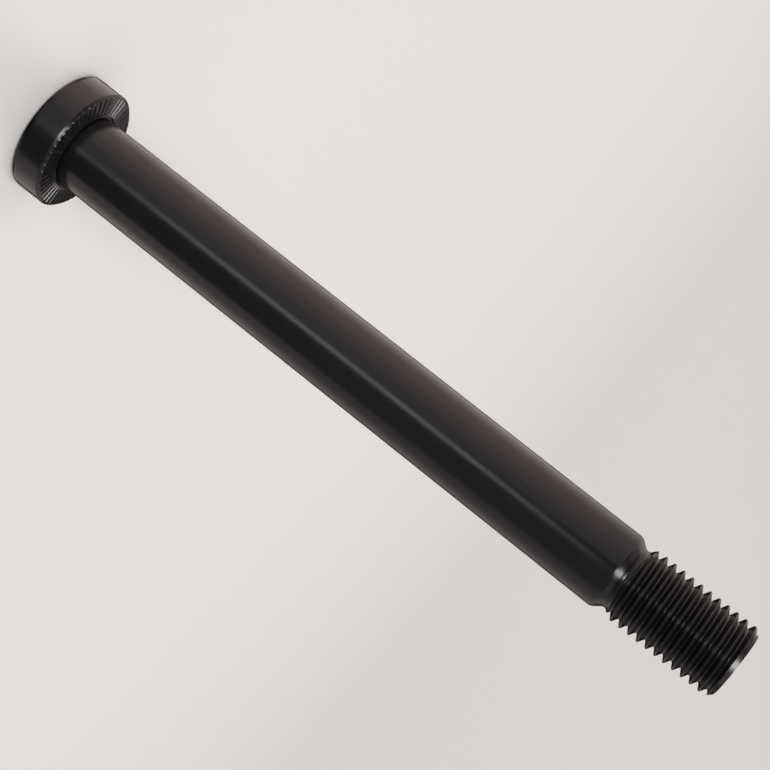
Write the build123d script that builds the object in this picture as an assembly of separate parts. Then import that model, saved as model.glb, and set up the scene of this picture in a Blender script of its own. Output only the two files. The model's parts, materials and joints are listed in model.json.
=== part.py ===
from build123d import *

import math
import os

# Bicycle thru axle, turned from one aluminium bar. Sizes are in millimetres.
# The axle's line is Z, from the head up to the threaded tip, and the origin is the centre of
# the head's outer face, on which the axle stands.

# Shaft
shaft_dia = 12.0
length_under_head = 120.0  # clamp face to tip
bore_dia = 5.0  # drilled right through to save weight
bore_chamfer = 0.4  # at the tip, 45 degrees

# Head
head_dia = 20.0
head_thickness = 5.5
head_edge_round = 0.8  # outer edge
rim_bevel = 0.5  # edge beside the clamp face, 45 degrees

# Key socket in the head's outer face
socket_across_flats = 6.0
socket_depth = 6.5
socket_mouth_margin = 0.3  # how far the mouth's 45 degree countersink passes the hexagon's corners

# Radial teeth on the clamp face: V grooves that all run to a point on the axle's line
tooth_count = 50
tooth_depth = 0.16  # at the rim
tooth_land = 0.7  # flat left between two grooves at the rim

# Recess in the clamp face, round the shaft's foot
recess_margin = 0.5  # how far it passes the shaft
recess_depth = 0.4
recess_round = 0.3  # where its floor meets the shaft

# Threaded end, right-handed
end_length = 20.2  # corner of the shaft's shoulder to the tip
thread_pitch = 1.5
thread_allowance = 0.25  # major diameter below the shaft's
thread_start_turn = 0.86  # where the crest stands round the axle at the middle of the neck
tip_chamfer = 0.9  # 45 degrees
tip_round = 0.2

# Neck between the shaft's shoulder and the thread, whose foot rises at 45 degrees
neck_clearance = 0.03  # neck's radius below the thread's root
neck_flat = 0.08  # straight stretch between the neck's two roundings
neck_round = 0.8  # at the shoulder's foot
thread_foot_round = 0.3
shoulder_slope = 38.0  # degrees off the axle's line
shoulder_round = 1.3

# Form of a metric thread
depth_per_pitch = 0.6134
root_flat_per_pitch = 1 / 8
flank_angle = 30.0
flank_points = 10  # spans of the spline that stands for a flank's spiral

# Dependent sizes
shaft_radius = shaft_dia / 2
bore_radius = bore_dia / 2
head_radius = head_dia / 2
clamp_z = head_thickness
tip_z = clamp_z + length_under_head
shoulder_z = tip_z - end_length
recess_radius = shaft_radius + recess_margin

thread_radius = (shaft_dia - thread_allowance) / 2
thread_depth = depth_per_pitch * thread_pitch
thread_root_radius = thread_radius - thread_depth

neck_radius = thread_root_radius - neck_clearance
shoulder_foot_z = shoulder_z + (shaft_radius - neck_radius) / math.tan(math.radians(shoulder_slope))
shoulder_tangent = neck_round * math.tan(math.radians(shoulder_slope) / 2)
thread_foot_tangent = thread_foot_round * math.tan(math.radians(45) / 2)
neck_middle_z = shoulder_foot_z + shoulder_tangent + neck_flat / 2
thread_foot_z = neck_middle_z + neck_flat / 2 + thread_foot_tangent

from_base = (Align.CENTER, Align.CENTER, Align.MIN)


def turned(corners):
    """A solid turned about Z, from its half section's corners of radius, height and rounding."""
    points = [(radius, 0, height) for radius, height, rounding in corners]
    roundings = [rounding for radius, height, rounding in corners]
    return revolve(make_face(FilletPolyline(*points, radius=roundings, close=True)), Axis.Z)


def head_and_shaft():
    """Everything from the head's outer face to the middle of the neck, before any cut."""
    return turned([
        (0, 0, 0),
        (head_radius, 0, head_edge_round),
        (head_radius, clamp_z - rim_bevel, 0),
        (head_radius - rim_bevel, clamp_z, 0),
        (recess_radius, clamp_z, 0),
        (recess_radius, clamp_z - recess_depth, 0),
        (shaft_radius, clamp_z - recess_depth, recess_round),
        (shaft_radius, shoulder_z, shoulder_round),
        (neck_radius, shoulder_foot_z, neck_round),
        (neck_radius, neck_middle_z, 0),
        (0, neck_middle_z, 0),
    ])


def around(radius, turn):
    """The point at a radius and a share of a turn, in the plane across the axle."""
    return Vector(radius, 0, 0).rotate(Axis.Z, 360 * turn)


def thread_section():
    """The thread cut square across: crest and root are arcs, and each flank is a spiral."""
    flank_turn = thread_depth * math.tan(math.radians(flank_angle)) / thread_pitch
    crest_turn = 1 - root_flat_per_pitch - 2 * flank_turn
    crest_ends = thread_start_turn - crest_turn / 2, thread_start_turn + crest_turn / 2
    root_ends = crest_ends[1] + flank_turn, crest_ends[0] + 1 - flank_turn

    def arc(radius, first, last):
        middle = (first + last) / 2
        return ThreePointArc(around(radius, first), around(radius, middle), around(radius, last))

    def spiral(first_radius, last_radius, first):
        spans = [number / flank_points for number in range(flank_points + 1)]
        rise = last_radius - first_radius
        return Spline(*[around(first_radius + rise * span, first + flank_turn * span) for span in spans])

    return make_face([
        arc(thread_radius, *crest_ends),
        spiral(thread_radius, thread_root_radius, crest_ends[1]),
        arc(thread_root_radius, *root_ends),
        spiral(thread_root_radius, thread_radius, root_ends[1]),
    ])


def threaded_end():
    """The thread's section drawn up and turned once for each pitch, between its two end slopes."""
    height = tip_z - neck_middle_z
    turn = 360 * height / thread_pitch
    rod = Solid.extrude_linear_with_rotation(thread_section().face(), (0, 0, 0), (0, 0, height), turn)
    spare = thread_depth / 2  # the envelope's side stands clear of the crests
    envelope = turned([
        (0, neck_middle_z, 0),
        (neck_radius, neck_middle_z, 0),
        (neck_radius, thread_foot_z, thread_foot_round),
        (thread_radius + spare, thread_foot_z + thread_radius + spare - neck_radius, 0),
        (thread_radius + spare, tip_z - tip_chamfer - spare, 0),
        (thread_radius - tip_chamfer, tip_z, tip_round),
        (0, tip_z, 0),
    ])
    return Pos(0, 0, neck_middle_z) * rod & envelope


def bore():
    """The through hole, with its edge at the tip broken."""
    hole = Cylinder(bore_radius, tip_z, align=from_base)
    mouth = Cone(bore_radius, bore_radius + bore_chamfer, bore_chamfer, align=from_base)
    return hole + Pos(0, 0, tip_z - bore_chamfer) * mouth


def key_socket():
    """The hexagon and the countersunk mouth that a key enters from below."""
    hexagon = RegularPolygon(socket_across_flats / 2, 6, major_radius=False)
    mouth_radius = socket_across_flats / 2 / math.cos(math.radians(30)) + socket_mouth_margin
    return extrude(hexagon, socket_depth) + Cone(mouth_radius, 0, mouth_radius, align=from_base)


def tooth_groove():
    """One V groove along X, as wide and deep as its distance from the axle's line gives."""
    gap = 2 * math.pi * head_radius / tooth_count - tooth_land
    ends = []
    for radius in ((shaft_radius + recess_radius) / 2, head_radius + rim_bevel):
        share = radius / head_radius
        corners = [  # the V is drawn to twice its depth, so that it opens above the face
            (radius, 0, clamp_z - tooth_depth * share),
            (radius, gap * share, clamp_z + tooth_depth * share),
            (radius, -gap * share, clamp_z + tooth_depth * share),
        ]
        ends.append(make_face(Polyline(*corners, close=True)))
    return loft(ends, ruled=True)


groove = tooth_groove()
grooves = [Rot(0, 0, 360 / tooth_count * number) * groove for number in range(tooth_count)]

axle = head_and_shaft() - grooves
axle += threaded_end()
axle -= [bore(), key_socket()]

os.makedirs("parts", exist_ok=True)
export_step(axle, "parts/thru_axle.step")
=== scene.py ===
import json
import math

import bpy
import numpy as np
from mathutils import Matrix, Vector


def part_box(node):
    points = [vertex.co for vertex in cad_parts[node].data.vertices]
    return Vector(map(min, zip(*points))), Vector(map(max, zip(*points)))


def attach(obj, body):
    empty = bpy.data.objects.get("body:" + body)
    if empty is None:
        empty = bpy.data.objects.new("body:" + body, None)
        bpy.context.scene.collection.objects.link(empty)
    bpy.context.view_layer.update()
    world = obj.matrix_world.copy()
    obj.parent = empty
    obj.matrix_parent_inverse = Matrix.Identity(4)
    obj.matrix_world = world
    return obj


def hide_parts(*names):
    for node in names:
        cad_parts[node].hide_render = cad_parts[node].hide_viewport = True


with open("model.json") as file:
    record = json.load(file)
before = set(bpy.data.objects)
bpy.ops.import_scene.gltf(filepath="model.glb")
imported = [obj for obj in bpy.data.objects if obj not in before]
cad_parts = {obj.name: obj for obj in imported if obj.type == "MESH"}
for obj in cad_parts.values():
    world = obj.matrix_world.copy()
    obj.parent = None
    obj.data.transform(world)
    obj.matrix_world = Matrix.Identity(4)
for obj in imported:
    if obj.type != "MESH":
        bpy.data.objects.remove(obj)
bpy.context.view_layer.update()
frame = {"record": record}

scene = bpy.context.scene
mm = 0.001  # sections are worked out in millimetres, meshes are in metres
mounts = {mount["name"]: mount for mount in frame["record"]["mounts"]}
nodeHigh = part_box("thru_axle")[1]
print("frame loaded, the axle is", round(nodeHigh.z / mm, 2), "mm tall")

axle = {  # millimetres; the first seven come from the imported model
    "headRadius": round(nodeHigh.x / mm, 3),
    "tipZ": round(nodeHigh.z / mm, 3),
    "clampZ": mounts["clamp_face"]["pos_m"][2] / mm,
    "shaftRadius": mounts["shaft"]["dims"]["r_mm"],
    "threadRadius": mounts["thread"]["dims"]["r_mm"],
    "threadLength": mounts["thread"]["dims"]["length_mm"],
    "socketDepth": mounts["key_socket"]["dims"]["length_mm"],
    "boreRadius": 2.5,
    "boreChamfer": 0.4,
    "keyFlats": 6.0,
    "mouthMargin": 0.3,  # countersink past the hexagon's corners
    "headEdgeRound": 0.8,
    "rimBevel": 0.5,
    "teeth": 50,
    "toothDepth": 0.16,  # at the rim
    "toothLand": 0.7,
    "toothSoftness": 0.03,  # rounding of the lands and groove bottoms
    "recessMargin": 0.5,
    "recessDepth": 0.4,
    "recessRound": 0.12,  # finer than the solid's, as the corner is dark in the photo
    "shoulderSlope": 38.0,  # degrees off the axle's line
    "shoulderRound": 1.3,
    "neckRound": 0.8,
    "neckFlat": 0.08,
    "neckClearance": 0.03,
    "footRound": 0.3,
    "pitch": 1.5,
    "startTurn": 0.86,  # where the crest stands at the middle of the neck
    "depthPerPitch": 0.6134,
    "rootFlatPerPitch": 1 / 8,
    "flankDegrees": 30.0,
    "crestSoftness": 0.05,
    "rootSoftness": 0.05,
    "tipChamfer": 0.9,
    "tipRound": 0.2,
    "edgeBreak": 0.06,  # the fine rounding of every edge that has none of its own
    "headColumns": 450,  # nine to a tooth, seventy-five to a flat of the key
    "shaftColumns": 150,  # one to three of the head's
    "headStep": 0.6,  # longest straight run between two rows
    "shaftStep": 4.0,
    "boreStep": 6.0,
    "coarseArc": 10.0,  # degrees of an arc between two rows, at most
    "fineArc": 5.0,
    "crestRows": (0.55, 1.0, 1.4),  # rows of the thread, as shares of half the crest
    "flankRows": (0.33, 0.62, 0.86, 1.0),  # as shares of the flank
    "rootRow": 0.25,  # before the middle of the root, as a share of its flat
    "sharpDegrees": 24.0,  # edges that turn by more are shaded sharp
    "wornDrop": 0.3,  # how far a wholly worn point stands out, see standOut
}

threadDepth = axle["depthPerPitch"] * axle["pitch"]
rootRadius = axle["threadRadius"] - threadDepth
flankTurn = threadDepth * math.tan(math.radians(axle["flankDegrees"])) / axle["pitch"]  # in pitches
crestHalf = (1 - axle["rootFlatPerPitch"]) / 2 - flankTurn  # in pitches
neckRadius = rootRadius - axle["neckClearance"]
footZ = axle["tipZ"] - axle["threadLength"]
footTangent = axle["footRound"] * math.tan(math.radians(22.5))  # half of the foot's 45 degrees
neckZ = footZ - footTangent - axle["neckFlat"] / 2
shoulderSlope = math.radians(axle["shoulderSlope"])
shoulderFootZ = neckZ - axle["neckFlat"] / 2 - axle["neckRound"] * math.tan(shoulderSlope / 2)
shoulderZ = shoulderFootZ - (axle["shaftRadius"] - neckRadius) / math.tan(shoulderSlope)
recessRadius = axle["shaftRadius"] + axle["recessMargin"]
recessZ = axle["clampZ"] - axle["recessDepth"]
keyHalf = axle["keyFlats"] / 2
mouthRadius = keyHalf / math.cos(math.radians(30)) + axle["mouthMargin"]  # corners, 30 degrees off mid-flat


# The lesser of two values, less a rounding near where they are equal: the square of what their
# difference lacks of softness, over four times softness.
def softMin(one, other, softness):
    return np.minimum(one, other) - np.maximum(softness - np.abs(one - other), 0) ** 2 / (4 * softness)


# A half section: straight runs between corners of (radius, height, rounding), an arc that swings
# from one run to the next at each rounded corner, and no run longer than step. Returns the points
# as rows of radius and height.
def roundedSection(corners, step, arcDegrees):
    leastSpan = 1e-6  # points closer than this are one
    corners = np.array(corners, float)
    runs = [corners[:1, :2]]
    for before, corner, after in zip(corners[:-2], corners[1:-1], corners[2:]):
        back = (before - corner)[:2] / np.linalg.norm((before - corner)[:2])
        ahead = (after - corner)[:2] / np.linalg.norm((after - corner)[:2])
        half = np.arccos(np.clip(back @ ahead, -1, 1)) / 2
        sweep = math.pi - 2 * half
        radius = corner[2]
        if radius == 0:
            runs.append(corner[None, :2])
            continue
        centre = corner[:2] + (back + ahead) / np.linalg.norm(back + ahead) * radius / math.sin(half)
        first = corner[:2] + back * radius / math.tan(half) - centre
        last = corner[:2] + ahead * radius / math.tan(half) - centre
        share = np.linspace(0, 1, max(2, math.ceil(math.degrees(sweep) / arcDegrees)) + 1)[:, None]
        arc = (np.sin((1 - share) * sweep) * first + np.sin(share * sweep) * last) / math.sin(sweep)
        runs.append(centre + arc)
    points = np.concatenate(runs + [corners[-1:, :2]])
    spans = np.linalg.norm(np.diff(points, axis=0), axis=1)
    points = np.concatenate([points[:1], points[1:][spans > leastSpan]])
    spans = spans[spans > leastSpan]
    cuts = np.ceil(spans / step).astype(int)
    start = np.repeat(np.arange(len(cuts)), cuts)
    share = (np.arange(cuts.sum()) - np.repeat(np.cumsum(cuts) - cuts, cuts)) / cuts[start]
    filled = points[start] + (points[start + 1] - points[start]) * share[:, None]
    return np.concatenate([filled, points[-1:]])


# Distance along a section from its first point, which the turning marks follow.
def runLength(section, first=0.0):
    spans = np.linalg.norm(np.diff(section, axis=0), axis=1)
    return first + np.concatenate([[0], np.cumsum(spans)])


# Rows and columns of points: radius and height at each angle round the axle's line.
def ringGrid(radius, height, angle):
    grid = np.broadcast_arrays(radius * np.cos(angle), radius * np.sin(angle), height)
    return np.stack(grid, axis=-1)


# Two triangles for each cell of a grid of point numbers. They face the way of the step to the next
# column crossed with the step to the next row.
def cellTriangles(numbers):
    corner, beside = numbers[:-1, :-1], numbers[:-1, 1:]
    above, across = numbers[1:, :-1], numbers[1:, 1:]
    halves = ((corner, beside, across), (corner, across, above))
    return np.concatenate([np.stack(half, -1).reshape(-1, 3) for half in halves])


# Four triangles for each span of a coarse row and the three spans of the fine row before it.
def stitchTriangles(fine, coarse):
    first, second, third = fine[0::3], fine[1::3], fine[2::3]
    fourth = np.roll(first, -1)
    ahead = np.roll(coarse, -1)
    fans = [(first, second, coarse), (second, ahead, coarse), (second, third, ahead), (third, fourth, ahead)]
    return np.concatenate([np.stack(fan, -1) for fan in fans])


# Socket: every row is a radius and height, plus a share of how far the hexagon's wall stands
# outside its inscribed circle; the wall is half the flats over the cosine of the angle from mid-flat.
def socketGrid(angle):
    floorZ = axle["socketDepth"]
    fine = axle["edgeBreak"]
    mouthZ = mouthRadius - keyHalf  # where the 45 degree countersink meets the middle of a flat
    bulge = keyHalf / np.cos(np.mod(angle, math.pi / 3) - math.pi / 6) - keyHalf
    rows = np.array([  # radius, share of the bulge, height, fall for each mm of bulge
        (axle["boreRadius"], 0, floorZ + 3 * fine, 0),
        (axle["boreRadius"], 0, floorZ + fine, 0),
        (axle["boreRadius"] + fine, 0, floorZ, 0),
        (keyHalf - 2 * fine, 0.9, floorZ, 0),
        (keyHalf - 0.6 * fine, 1, floorZ - 0.6 * fine, 0),
        (keyHalf, 1, floorZ - 2 * fine, 0),
        (keyHalf, 1, floorZ * 0.6, 0),
        (keyHalf, 1, floorZ * 0.3, 0.5),
        (keyHalf, 1, mouthZ + fine, 1),
        (keyHalf + 0.3 * fine, 1, mouthZ + 0.1 * fine, 1),
        (keyHalf + fine, 1, mouthZ - fine, 1),
        (mouthRadius - fine, 0, fine, 0),
        (mouthRadius, 0, 0.3 * fine, 0),
    ])[:, :, None]
    grid = ringGrid(rows[:, 0] + rows[:, 1] * bulge, rows[:, 2] - rows[:, 3] * bulge, angle)
    return grid, runLength(rows[:, 0::2, 0])


# Head: the turned section, with each height lowered to the tooth grooves where they lie below it.
# A groove is a V that widens and deepens with its distance from the axle's line, so the height of
# its flank is depth times (distance off its middle over half its gap, less its share of the radius).
# The columns are moved so that they run along each groove's bottom and the edges of each land.
def headGrid(section):
    count = axle["teeth"]
    rim = axle["headRadius"]
    soft = axle["toothSoftness"]
    depth = axle["toothDepth"]
    halfGap = (2 * math.pi * rim / count - axle["toothLand"]) / 2
    radius, height = section[:, 0], section[:, 1]
    edge = halfGap * (radius / rim - (axle["clampZ"] - height) / depth)  # land's edge from mid-groove
    edge = np.where(edge > 0, edge, 0)
    tooth = 2 * math.pi * radius / count
    near = np.minimum(soft, edge / 4)  # columns this close to a corner carry its rounding
    columns = [-near, near, edge - near, edge, edge + near, tooth / 2]
    columns += [tooth - edge - near, tooth - edge, tooth - edge + near]
    warped = np.stack(columns, -1) / radius[:, None]
    even = np.arange(len(columns)) / len(columns) * 2 * math.pi / count
    toothAngle = np.arange(count) * 2 * math.pi / count
    angle = np.where(edge[:, None] > 0, warped, even)
    angle = (angle[:, None, :] + toothAngle[None, :, None]).reshape(len(section), -1)
    pitchAngle = 2 * math.pi / count
    off = np.mod(angle + pitchAngle / 2, pitchAngle) - pitchAngle / 2
    across = np.sqrt((radius[:, None] * np.sin(off)) ** 2 + (soft / 2) ** 2)
    groove = axle["clampZ"] + depth * (across / halfGap - radius[:, None] * np.cos(off) / rim)
    return ringGrid(radius[:, None], softMin(height[:, None], groove, soft), angle)


# Thread radius at a place counted in pitches from a crest: a flat crest and root joined by straight
# flanks, with both corners softened.
def threadRadiusAt(turns):
    away = np.abs(turns - np.round(turns))
    line = axle["threadRadius"] - (away - crestHalf) / flankTurn * threadDepth
    filled = -softMin(-line, -rootRadius, axle["rootSoftness"])
    return softMin(filled, axle["threadRadius"], axle["crestSoftness"])


# Distance along the thread's form from its crest, at a place counted in pitches.
def threadRun(turns):
    samples = 101
    steps = np.linspace(0, 0.5, samples)
    run = runLength(np.stack([threadRadiusAt(steps), steps * axle["pitch"]], -1))
    return np.interp(np.abs(turns - np.round(turns)), steps, run)


# Radius of the slopes that end the thread: out from the neck, and in again at the tip.
def endSlope(height, footSection):
    foot = np.interp(height, footSection[:, 1], footSection[:, 0])
    return np.minimum(foot, axle["threadRadius"] - axle["tipChamfer"] + axle["tipZ"] - height)


# The thread's radius or the envelope's, if less, at each height and angle. The place on the thread is
# the height above the neck in pitches, plus the start, less the share of a turn round the axle.
def cutByThread(height, envelope, angle):
    turns = (height - neckZ) / axle["pitch"] + axle["startTurn"] - angle / (2 * math.pi)
    grid = ringGrid(np.minimum(threadRadiusAt(turns), envelope), height, angle)
    return grid, threadRun(turns)


# Thread: rows climb one pitch in a turn, at chosen places on the thread's form, and stop at the neck
# and at the tip's rounding. The radius is the thread's or that of the two end slopes, if less.
def threadGrid(angle, footSection, lastZ):
    crest = crestHalf * np.array(axle["crestRows"])
    slope = crestHalf + flankTurn * np.array(axle["flankRows"])
    half = np.concatenate([crest, slope, [0.5 - axle["rootFlatPerPitch"] * axle["rootRow"]]])
    places = np.concatenate([-half[::-1], [0], half, [0.5]])
    turn = angle / (2 * math.pi)
    firstTurn = math.floor(axle["startTurn"] - 1.5)  # spare rows fall together at both ends
    lastTurn = math.ceil((lastZ - neckZ) / axle["pitch"] + axle["startTurn"] + 0.5)
    rows = (np.arange(firstTurn, lastTurn + 1)[:, None] + places[None, :]).reshape(-1, 1)
    height = np.clip(neckZ + axle["pitch"] * (turn - axle["startTurn"] + rows), neckZ, lastZ)
    return cutByThread(height, endSlope(height, footSection), angle)


# One value for each point of a mesh.
def addValues(mesh, name, values):
    attribute = mesh.attributes.new(name, "FLOAT", "POINT")
    attribute.data.foreach_set("value", values.astype(np.float32))


# Mesh from points in millimetres: points at one place become one, and flattened triangles go.
def weldedMesh(name, points, triangles, **attributes):
    weldDigits = 5  # decimals of a millimetre that count
    rounded = np.round(points, weldDigits)
    first, number = np.unique(rounded, axis=0, return_index=True, return_inverse=True)[1:]
    triangles = number.reshape(-1)[triangles]
    one, two, three = triangles.T
    triangles = triangles[(one != two) & (two != three) & (three != one)]
    mesh = bpy.data.meshes.new(name)
    mesh.vertices.add(len(first))
    mesh.vertices.foreach_set("co", (points[first] * mm).ravel().astype(np.float32))
    mesh.loops.add(triangles.size)
    mesh.loops.foreach_set("vertex_index", triangles.ravel().astype(np.int32))
    mesh.polygons.add(len(triangles))
    mesh.polygons.foreach_set("loop_start", np.arange(0, triangles.size, 3, dtype=np.int32))
    mesh.update(calc_edges=True)
    for key, values in attributes.items():
        addValues(mesh, key, values[first])
    mesh.validate()
    piece = bpy.data.objects.new(name, mesh)
    scene.collection.objects.link(piece)
    return piece


# How far each point stands out from its neighbours: the mean sine of the drop to them.
def standOut(mesh):
    leastStep = 1e-9  # metres, so that nothing is divided by zero
    count = len(mesh.vertices)
    place = np.empty(count * 3, np.float32)
    mesh.vertices.foreach_get("co", place)
    normal = np.empty(count * 3, np.float32)
    mesh.vertex_normals.foreach_get("vector", normal)
    place, normal = place.reshape(-1, 3), normal.reshape(-1, 3)
    ends = np.empty(len(mesh.edges) * 2, np.int32)
    mesh.edges.foreach_get("vertices", ends)
    one, other = ends.reshape(-1, 2).T
    step = place[other] - place[one]
    step /= np.maximum(np.linalg.norm(step, axis=1, keepdims=True), leastStep)
    drop = np.bincount(one, -(normal[one] * step).sum(1), count)
    drop += np.bincount(other, (normal[other] * step).sum(1), count)
    return drop / np.maximum(np.bincount(ends, minlength=count), 1)


# The whole axle as one closed mesh: socket, head, shaft with its neck, thread, and the tip with the
# bore that leads back to the socket. The thread's grid has a seam, which the weld closes.
def buildAxle():
    fineAngle = np.arange(axle["headColumns"]) * 2 * math.pi / axle["headColumns"]
    angle = np.arange(axle["shaftColumns"]) * 2 * math.pi / axle["shaftColumns"]
    seamAngle = np.append(angle, 2 * math.pi)
    fine = axle["edgeBreak"]
    rim = axle["headRadius"]
    clampZ, tipZ = axle["clampZ"], axle["tipZ"]

    socket, socketRun = socketGrid(fineAngle)
    headSection = roundedSection([
        (mouthRadius + fine, 0, 0),
        (rim, 0, axle["headEdgeRound"]),
        (rim, clampZ - axle["rimBevel"], fine),
        (rim - axle["rimBevel"], clampZ, fine),
        (recessRadius, clampZ, 0),
        (recessRadius, recessZ, fine),
        (recessRadius - 1.5 * fine, recessZ, 0),  # stitched to the shaft's first row
    ], axle["headStep"], axle["coarseArc"])
    head = headGrid(headSection)
    headRun = runLength(headSection, socketRun[-1])
    shaftSection = roundedSection([
        (recessRadius - 2 * fine, recessZ, 0),
        (axle["shaftRadius"], recessZ, axle["recessRound"]),
        (axle["shaftRadius"], shoulderZ, axle["shoulderRound"]),
        (neckRadius, shoulderFootZ, axle["neckRound"]),
        (neckRadius, neckZ, 0),
    ], axle["shaftStep"], axle["fineArc"])
    shaft = ringGrid(shaftSection[:, :1], shaftSection[:, 1:], angle)
    shaftRun = runLength(shaftSection, headRun[-1])
    footSection = roundedSection([
        (neckRadius, neckZ, 0),
        (neckRadius, footZ, axle["footRound"]),
        (axle["shaftRadius"], footZ + axle["shaftRadius"] - neckRadius, 0),
        (axle["shaftRadius"], tipZ, 0),
    ], axle["shaftStep"], axle["fineArc"])
    tipSection = roundedSection([
        (axle["threadRadius"], tipZ - axle["tipChamfer"], 0),
        (axle["threadRadius"] - axle["tipChamfer"], tipZ, axle["tipRound"]),
        (axle["boreRadius"] + axle["boreChamfer"], tipZ, fine),
        (axle["boreRadius"], tipZ - axle["boreChamfer"], fine),
        (axle["boreRadius"], axle["socketDepth"] + 6 * fine, 0),  # stitched to the socket's first row
    ], axle["boreStep"], axle["coarseArc"])[1:]  # the thread's grid ends where the rounding starts
    thread, threadLay = threadGrid(seamAngle, footSection, tipSection[0, 1])
    tip = cutByThread(tipSection[:, 1:], tipSection[:, :1], angle)[0]
    tipRun = runLength(tipSection, shaftRun[-1])

    grids = [socket, head, shaft, thread, tip]
    runs = [socketRun[:, None], headRun[:, None], shaftRun[:, None], threadLay, tipRun[:, None]]
    points = np.concatenate([grid.reshape(-1, 3) for grid in grids])
    lay = np.concatenate([np.broadcast_to(run, grid.shape[:2]).ravel() for grid, run in zip(grids, runs)])
    counts = [grid.shape[0] * grid.shape[1] for grid in grids]
    starts = np.cumsum([0] + counts)
    socketNumbers, headNumbers, shaftNumbers, threadNumbers, tipNumbers = [
        start + np.arange(count).reshape(grid.shape[:2])
        for start, count, grid in zip(starts, counts, grids)]

    def closed(numbers):
        return np.concatenate([numbers, numbers[:, :1]], axis=1)

    wholeHead = np.concatenate([socketNumbers, headNumbers])
    triangles = np.concatenate([
        cellTriangles(closed(wholeHead)),
        stitchTriangles(wholeHead[-1], shaftNumbers[0]),
        cellTriangles(closed(shaftNumbers)),
        cellTriangles(threadNumbers),
        cellTriangles(closed(tipNumbers)),
        stitchTriangles(wholeHead[0], tipNumbers[-1])[:, ::-1],
    ])
    piece = weldedMesh("axle_turned", points, triangles, lay=lay)
    piece.data.shade_smooth()
    piece.data.set_sharp_from_angle(angle=math.radians(axle["sharpDegrees"]))
    addValues(piece.data, "worn", np.clip(standOut(piece.data) / axle["wornDrop"], 0, 1))
    return piece


finish = {
    "darkTone": (0.0061, 0.0060, 0.0066, 1),
    "lightTone": (0.0083, 0.0077, 0.0080, 1),
    "wornTone": (0.0105, 0.0098, 0.0099, 1),
    "cloudSize": 6.0,  # mm
    "cloudDetail": 4.0,
    "cloudRange": (0.3, 0.7),  # the clouds' values at the least and the most roughness
    "grainSize": 0.12,  # mm
    "grainDetail": 2.0,
    "grainHeight": 0.0003,  # mm
    "markPitch": 0.14,  # mm between turning marks
    "markDetail": 2.0,
    "markHeight": 0.0006,  # mm
    "roughness": (0.19, 0.25),
    "wornRoughness": 0.3,
    "refraction": 1.62,
}


# Black anodised bar: two near-black tones in soft clouds, a little lighter and rougher where edges
# stand out, with the turning tool's marks running round it and a fine etched grain.
def anodisedFinish():
    material = bpy.data.materials.new("anodised_bar")
    material.use_nodes = True
    tree = material.node_tree
    shader = tree.nodes["Principled BSDF"]

    def add(kind, **settings):
        made = tree.nodes.new(kind)
        for key, setting in settings.items():
            setattr(made, key, setting)
        return made

    # Inputs go by name, or by number after an underscore; a socket is linked and a value is set.
    def feed(made, **sources):
        for key, source in sources.items():
            socket = made.inputs[int(key[1:])] if key[1:].isdigit() else made.inputs[key]
            if isinstance(source, bpy.types.NodeSocket):
                tree.links.new(source, socket)
            else:
                socket.default_value = source
        return made

    place = add("ShaderNodeTexCoord").outputs["Object"]
    lay = add("ShaderNodeAttribute", attribute_name="lay").outputs["Fac"]
    worn = add("ShaderNodeAttribute", attribute_name="worn").outputs["Fac"]
    clouds = feed(add("ShaderNodeTexNoise"), Vector=place,
                  Scale=1 / (finish["cloudSize"] * mm), Detail=finish["cloudDetail"])
    grain = feed(add("ShaderNodeTexNoise"), Vector=place,
                 Scale=1 / (finish["grainSize"] * mm), Detail=finish["grainDetail"])
    marks = feed(add("ShaderNodeTexNoise", noise_dimensions="1D"), W=lay,
                 Scale=1 / finish["markPitch"], Detail=finish["markDetail"])

    tone = feed(add("ShaderNodeMix", data_type="RGBA"),
                _0=clouds.outputs["Fac"], _6=finish["darkTone"], _7=finish["lightTone"])
    wornTone = feed(add("ShaderNodeMix", data_type="RGBA"),
                    _0=worn, _6=tone.outputs[2], _7=finish["wornTone"])
    least, most = finish["cloudRange"]
    smooth, rough = finish["roughness"]
    gloss = feed(add("ShaderNodeMapRange"), Value=clouds.outputs["Fac"])
    feed(gloss, _1=least, _2=most, _3=smooth, _4=rough)
    wornGloss = feed(add("ShaderNodeMix"), _0=worn, _2=gloss.outputs[0], _3=finish["wornRoughness"])
    markBump = feed(add("ShaderNodeBump"), Height=marks.outputs["Fac"], Strength=1.0)
    markBump.inputs["Distance"].default_value = finish["markHeight"] * mm
    grainBump = feed(add("ShaderNodeBump"), Height=grain.outputs["Fac"], Normal=markBump.outputs[0])
    grainBump.inputs["Distance"].default_value = finish["grainHeight"] * mm

    tree.links.new(wornTone.outputs[2], shader.inputs["Base Color"])
    tree.links.new(wornGloss.outputs[0], shader.inputs["Roughness"])
    tree.links.new(grainBump.outputs[0], shader.inputs["Normal"])
    shader.inputs["Metallic"].default_value = 0.0
    shader.inputs["IOR"].default_value = finish["refraction"]
    return material


axlePiece = buildAxle()
axlePiece.data.materials.append(anodisedFinish())
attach(axlePiece, "root")
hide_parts("thru_axle")
print("axle turned:", len(axlePiece.data.polygons), "triangles")

cove = {  # metres
    "flatRings": (0, 0.3, 0.6),
    "flatRadius": 1.0,
    "bendRadius": 0.8,
    "bendRows": 17,
    "wallTop": 3.0,
    "columns": 96,
    "tone": (0.70, 0.70, 0.69, 1),
    "roughness": 0.9,
}


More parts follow.
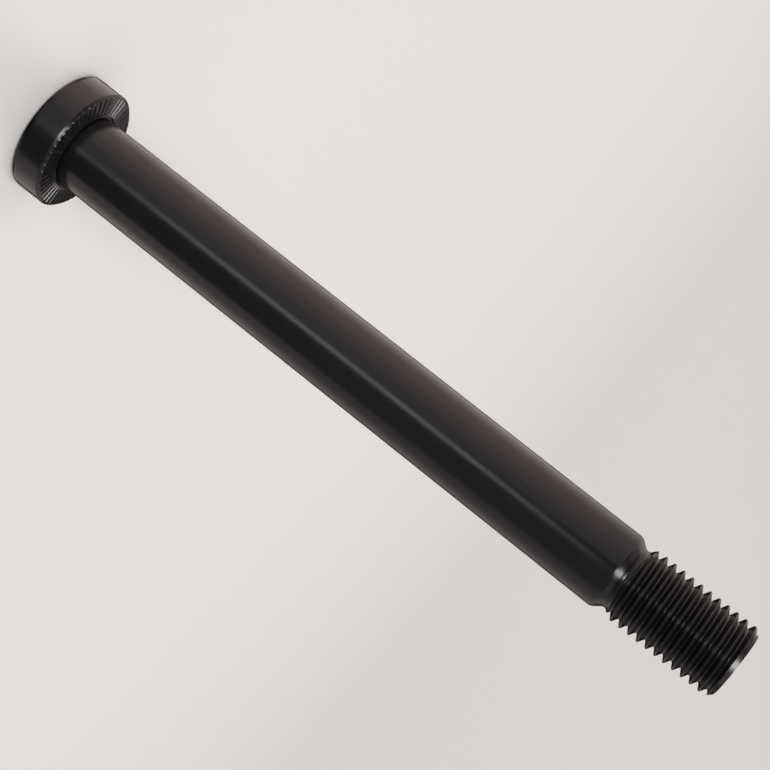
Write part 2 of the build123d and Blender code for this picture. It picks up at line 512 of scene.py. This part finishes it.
# A round seamless floor: a flat disc, a quarter bend and a wall, carried round the axle's line. In
# the bend the radius grows with the sine of its angle, and the height with one less its cosine.
def buildCove():
    bend = np.linspace(0, math.pi / 2, cove["bendRows"])
    flat = np.array(cove["flatRings"])
    radius = np.concatenate([flat, cove["flatRadius"] + cove["bendRadius"] * np.sin(bend)])
    height = np.concatenate([flat * 0, cove["bendRadius"] * (1 - np.cos(bend))])
    radius = np.append(radius, radius[-1])
    height = np.append(height, cove["wallTop"])
    angle = np.linspace(0, 2 * math.pi, cove["columns"] + 1)
    grid = ringGrid(radius[:, None], height[:, None], angle)[:, ::-1] / mm
    numbers = np.arange(grid.shape[0] * grid.shape[1]).reshape(grid.shape[:2])
    piece = weldedMesh("studio_cove", grid.reshape(-1, 3), cellTriangles(numbers))
    piece.data.shade_smooth()
    material = bpy.data.materials.new("cove_paint")
    material.use_nodes = True
    paint = material.node_tree.nodes["Principled BSDF"]
    paint.inputs["Base Color"].default_value = cove["tone"]
    paint.inputs["Roughness"].default_value = cove["roughness"]
    piece.data.materials.append(material)
    return piece


floorPiece = buildCove()
floorPiece.visible_glossy = False  # the axle mirrors the lights alone, also those beyond the floor
floorPiece.visible_diffuse = False
floorPiece.visible_shadow = False  # and those lights reach it
print("cove in place")

studio = {  # bearings are degrees round the axle's line, from -Y towards -X
    "ambient": (0.28, 0.276, 0.272, 1),
    "distance": 2.5,  # metres from the axle's line to each softbox
    "softboxes": {  # bearings and elevations of its sides in degrees, brightness, colour
        "rear": ((-152, -112), (-15, 38), 0.5, (1.0, 0.9, 0.88)),
        "rearFloor": ((-152, -112), (-34, -15), 0.7, (1.0, 0.88, 0.85)),
        "rearSide": ((-112, -76), (-15, 38), 0.36, (1.0, 0.87, 0.88)),
        "rearSideFloor": ((-112, -76), (-34, -15), 0.5, (1.0, 0.87, 0.86)),
        "gap": ((-74, -14), (-15, 38), 0.17, (0.82, 0.88, 1.0)),
        "gapFloor": ((-74, -14), (-34, -15), 0.08, (0.65, 0.85, 1.0)),
        "strip": ((-12, -1), (-20, -2), 1.95, (1.0, 0.97, 0.98)),
        "fill": ((4, 36), (-20, -3), 0.44, (1.0, 0.93, 0.95)),
        "fillHigh": ((12, 36), (-3, 38), 0.34, (1.0, 0.94, 0.97)),
        "fillFloor": ((-14, 36), (-34, -20), 0.4, (1.0, 0.94, 0.96)),
        "keyEdge": ((36, 62), (-34, -1), 0.68, (1.0, 0.84, 0.82)),
        "keyEdgeHigh": ((36, 62), (-1, 38), 0.45, (1.0, 0.88, 0.9)),
        "key": ((62, 106), (-34, -1), 0.95, (1.0, 0.75, 0.72)),
        "keyHigh": ((62, 106), (-1, 38), 0.6, (1.0, 0.82, 0.82)),
        "backKey": ((106, 154), (-34, -1), 1.13, (1.0, 0.87, 0.82)),
        "backKeyHigh": ((106, 154), (-1, 38), 0.78, (1.0, 0.89, 0.86)),
        "back": ((154, 179), (4, 42), 0.42, (1.0, 0.87, 0.85)),
    },
    "panels": {  # bearing, elevation, metres to it, its width and length, brightness, colour
        "overhead": (0, 78, 1.5, 0.32, 3.9, 7.0, (1.0, 0.97, 0.94)),
        "keyTop": (108, 49, 2.0, 1.2, 0.95, 0.36, (1.0, 0.85, 0.82)),
        "rearTop": (-105, 55, 2.0, 1.2, 1.15, 0.27, (1.0, 0.93, 0.92)),
        "keyBounce": (85, -52, 2.0, 1.7, 1.15, 0.7, (1.0, 0.82, 0.8)),
        "fillBounce": (18, -55, 2.0, 0.9, 1.15, 0.4, (1.0, 0.94, 0.96)),
        "rearBounce": (-102, -52, 2.0, 1.5, 1.15, 0.34, (1.0, 0.93, 0.91)),
        "ceiling": (0, 90, 2.6, 4.0, 4.0, 0.1, (1.0, 0.96, 0.93)),
    },
}


# A rectangle of light that faces a point; brightness is its radiance, whatever its size.
def addSoftbox(name, place, aim, width, height, brightness, colour):
    lamp = bpy.data.lights.new(name, "AREA")
    lamp.shape = "RECTANGLE"
    lamp.size = width
    lamp.size_y = height
    lamp.energy = brightness * math.pi * width * height  # radiance times pi times area
    lamp.color = colour
    holder = bpy.data.objects.new(name, lamp)
    holder.rotation_euler = (aim - place).to_track_quat("-Z", "Y").to_euler()
    holder.location = place
    holder.visible_camera = False
    scene.collection.objects.link(holder)


# Softboxes stand upright round the axle's line, and panels face the frame's origin.
def lightStudio():
    world = bpy.data.worlds.new("studio_air")
    scene.world = world
    world.use_nodes = True
    world.node_tree.nodes["Background"].inputs["Color"].default_value = studio["ambient"]
    world.cycles_visibility.glossy = False
    far = studio["distance"]
    for name, (bearings, elevations, brightness, colour) in studio["softboxes"].items():
        first, last = [math.radians(angle) for angle in bearings]
        low, high = [far * math.tan(math.radians(angle)) for angle in elevations]
        bearing = (first + last) / 2
        place = Vector((-far * math.sin(bearing), -far * math.cos(bearing), (low + high) / 2))
        aim = Vector((0, 0, place.z))
        width = 2 * far * math.tan((last - first) / 2)
        addSoftbox(name, place, aim, width, high - low, brightness, colour)
    for name, (bearing, elevation, away, width, length, brightness, colour) in studio["panels"].items():
        bearing, rise = math.radians(bearing), math.radians(elevation)
        level = math.cos(rise)
        toPanel = Vector((-math.sin(bearing) * level, -math.cos(bearing) * level, math.sin(rise)))
        addSoftbox(name, toPanel * away, Vector((0, 0, 0)), width, length, brightness, colour)


lightStudio()
scene.view_settings.view_transform = "Standard"
print("studio lit")

photoView = {  # worked out from the axle's edges in the photo
    "imageWidth": 770,  # pixels
    "focalLength": 1650.0,  # pixels
    "distance": 235.93,  # mm along the view to the axle's line
    "bearing": 1.0,  # degrees round the axle's line, from -Y towards +X
    "aimHeight": 57.90,  # mm above the clamp face
    "sideStep": 0.42,  # mm towards -X
    "tilt": 11.235,  # degrees down
    "slant": 38.274,  # degrees that the axle falls to the right in the picture
    "sensorWidth": 36.0,  # mm
    "clipStart": 0.01,  # metres
}


# The view looks down by the tilt and is rolled, so that the axle lies slanted across the picture.
def setCamera():
    bearing, tilt, slant = [math.radians(photoView[key]) for key in ("bearing", "tilt", "slant")]
    level = Vector((-math.sin(bearing), math.cos(bearing), 0))
    upright = Vector((0, 0, 1))
    forward = math.cos(tilt) * level - math.sin(tilt) * upright
    alongAxle = math.sin(tilt) * level + math.cos(tilt) * upright
    acrossAxle = Vector((-math.cos(bearing), -math.sin(bearing), 0))
    right = math.cos(slant) * alongAxle + math.sin(slant) * acrossAxle
    up = -math.sin(slant) * alongAxle + math.cos(slant) * acrossAxle
    aim = Vector((0, 0, axle["clampZ"] + photoView["aimHeight"]))
    place = (aim + photoView["sideStep"] * acrossAxle - photoView["distance"] * forward) * mm
    lens = bpy.data.cameras.new("photo_view")
    lens.sensor_width = photoView["sensorWidth"]
    lens.lens = photoView["focalLength"] * lens.sensor_width / photoView["imageWidth"]
    lens.clip_start = photoView["clipStart"]
    camera = bpy.data.objects.new("photo_view", lens)
    turn = Matrix((right, up, -forward)).transposed().to_4x4()
    camera.matrix_world = Matrix.Translation(place) @ turn
    scene.collection.objects.link(camera)
    scene.camera = camera


setCamera()
print("camera set")
